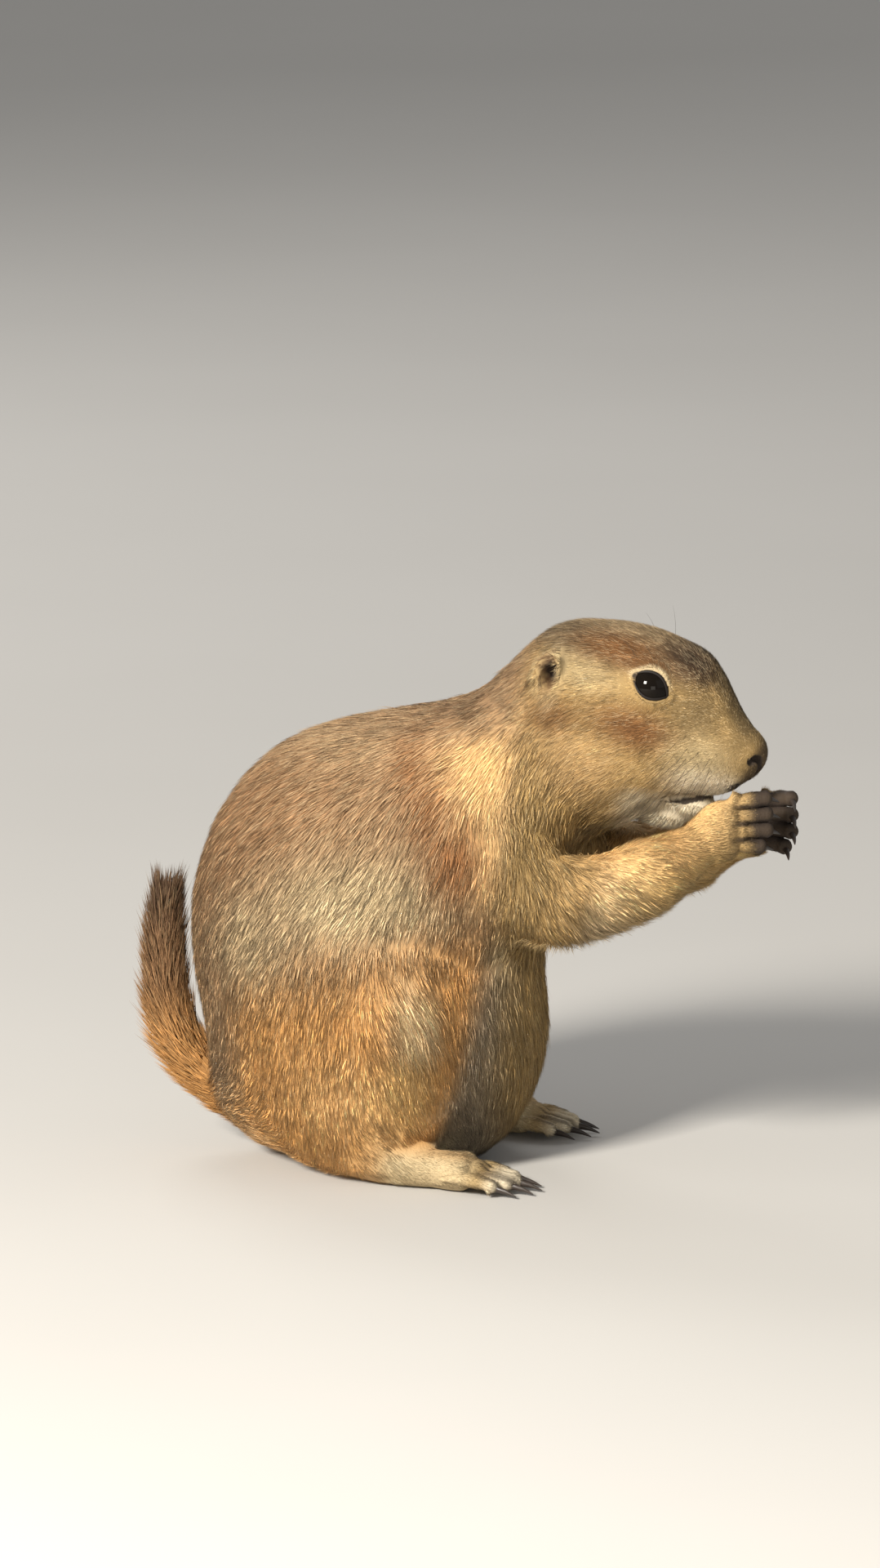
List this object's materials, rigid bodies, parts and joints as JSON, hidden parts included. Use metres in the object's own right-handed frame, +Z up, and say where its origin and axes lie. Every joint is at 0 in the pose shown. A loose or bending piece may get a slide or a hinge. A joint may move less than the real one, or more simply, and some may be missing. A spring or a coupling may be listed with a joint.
{
  "type": "prairie dog model",
  "caption": "Life-size still model of a prairie dog sitting hunched on its haunches, both hands held up to its mouth and its bristly tail curved up behind.",
  "frame": {"origin": "on the floor under the middle of the model", "axes": "+X towards the nose, +Y to the animal's left, +Z up"},
  "size_m": [0.2045, 0.1122, 0.1699],
  "materials": {
    "fur_body": "short dense buff fur, grizzled brown on the back and paler below",
    "fur_head": "very short fur, grizzled on the crown and cream on the muzzle",
    "fur_tail": "coarse bristly fur, orange at the root and dark towards the tip",
    "paw": "thin dark skin under sparse short hair",
    "eye": "wet black gloss",
    "claw": "dark horn with a dull shine"
  },
  "bodies": {
    "root": {"head": "fur_head", "neck": "fur_body", "torso": "fur_body", "tail_base": "fur_body", "tail_brush": "fur_tail", "thigh_right": "fur_body", "shank_right": "fur_body", "upper_arm_right": "fur_body", "forearm_right": "fur_body", "foot_right": "fur_body", "hand_right": "paw", "eye_right": "eye", "ear_right": "fur_head", "finger_claw_right_1": "claw", "finger_claw_right_2": "claw", "finger_claw_right_3": "claw", "finger_claw_right_4": "claw", "toe_claw_right_1": "claw", "toe_claw_right_2": "claw", "toe_claw_right_3": "claw", "toe_claw_right_4": "claw", "toe_claw_right_5": "claw", "thigh_left": "fur_body", "shank_left": "fur_body", "upper_arm_left": "fur_body", "forearm_left": "fur_body", "foot_left": "fur_body", "hand_left": "paw", "eye_left": "eye", "ear_left": "fur_head", "finger_claw_left_1": "claw", "finger_claw_left_2": "claw", "finger_claw_left_3": "claw", "finger_claw_left_4": "claw", "toe_claw_left_1": "claw", "toe_claw_left_2": "claw", "toe_claw_left_3": "claw", "toe_claw_left_4": "claw", "toe_claw_left_5": "claw"}
  },
  "joints": []
}
